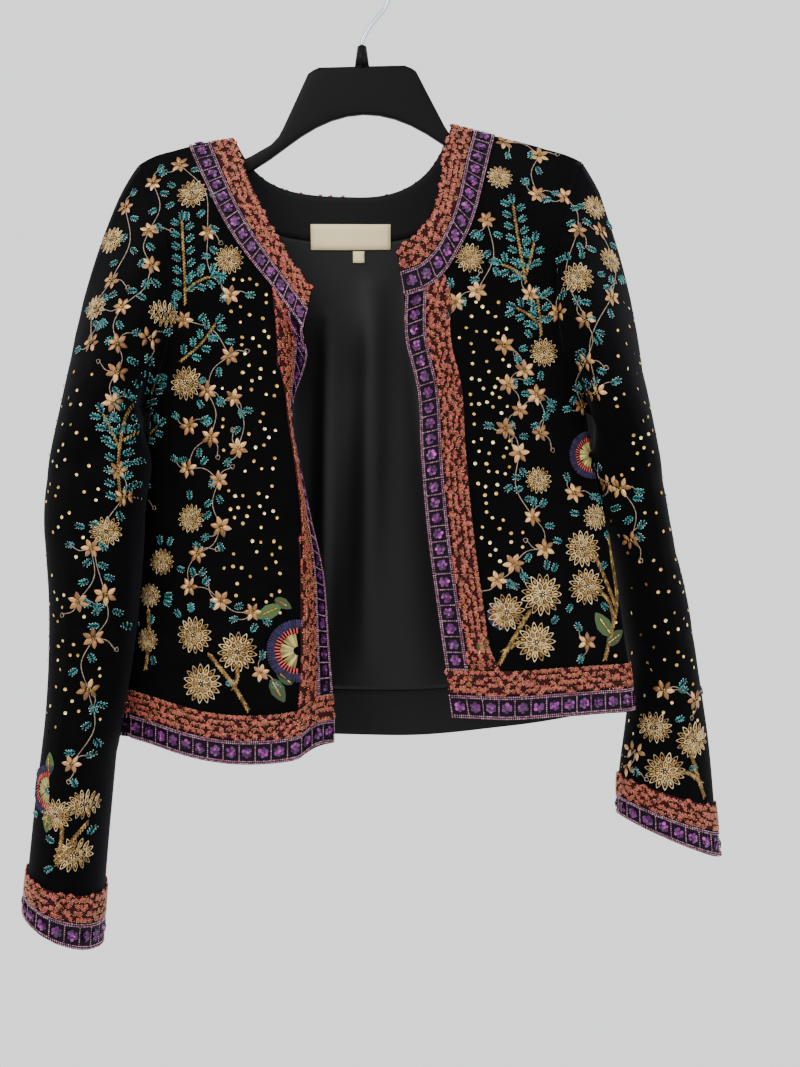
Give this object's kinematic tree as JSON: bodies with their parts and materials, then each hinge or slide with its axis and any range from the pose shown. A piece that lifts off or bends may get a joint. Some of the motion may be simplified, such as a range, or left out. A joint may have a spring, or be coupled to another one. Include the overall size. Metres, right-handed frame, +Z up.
{
  "type": "embroidered jacket on a hanger",
  "caption": "Open cropped velvet jacket with beaded flower embroidery and double trim bands, hanging on a plain plastic hanger with a wire hook.",
  "frame": {"origin": "inside the top of the hanger's hook, where the rail bears", "axes": "+Z up, -Y towards the viewer in front of the jacket, +X towards the wearer's left side"},
  "size_m": [0.5892, 0.1545, 0.8248],
  "materials": {
    "velvet": "black velvet with flower embroidery in beads and sequins",
    "rust_beadwork": "black ribbon covered with rust-red beads between gold bead lines",
    "violet_sequin": "black ribbon with violet sequin flowers in mauve bead squares",
    "facing": "matte black",
    "lining": "black satin",
    "label": "cream woven label, blank",
    "hanger_plastic": "moulded black",
    "hook_steel": "plain wire"
  },
  "bodies": {
    "root": {"back": "velvet", "front_right": "velvet", "front_left": "velvet", "sleeve_right": "velvet", "sleeve_left": "velvet", "neck_band_rust": "rust_beadwork", "neck_band_violet": "violet_sequin", "hem_band_rust": "rust_beadwork", "hem_band_violet": "violet_sequin", "front_band_rust_right": "rust_beadwork", "front_band_rust_left": "rust_beadwork", "front_band_violet_right": "violet_sequin", "front_band_violet_left": "violet_sequin", "cuff_band_rust_right": "rust_beadwork", "cuff_band_rust_left": "rust_beadwork", "cuff_band_violet_right": "violet_sequin", "cuff_band_violet_left": "violet_sequin", "back_neck_facing": "facing", "hem_facing": "facing", "back_lining": "lining", "label": "label", "size_tab": "label", "hanger": "hanger_plastic", "hanger_boss": "hanger_plastic", "hook": "hook_steel"}
  },
  "joints": []
}
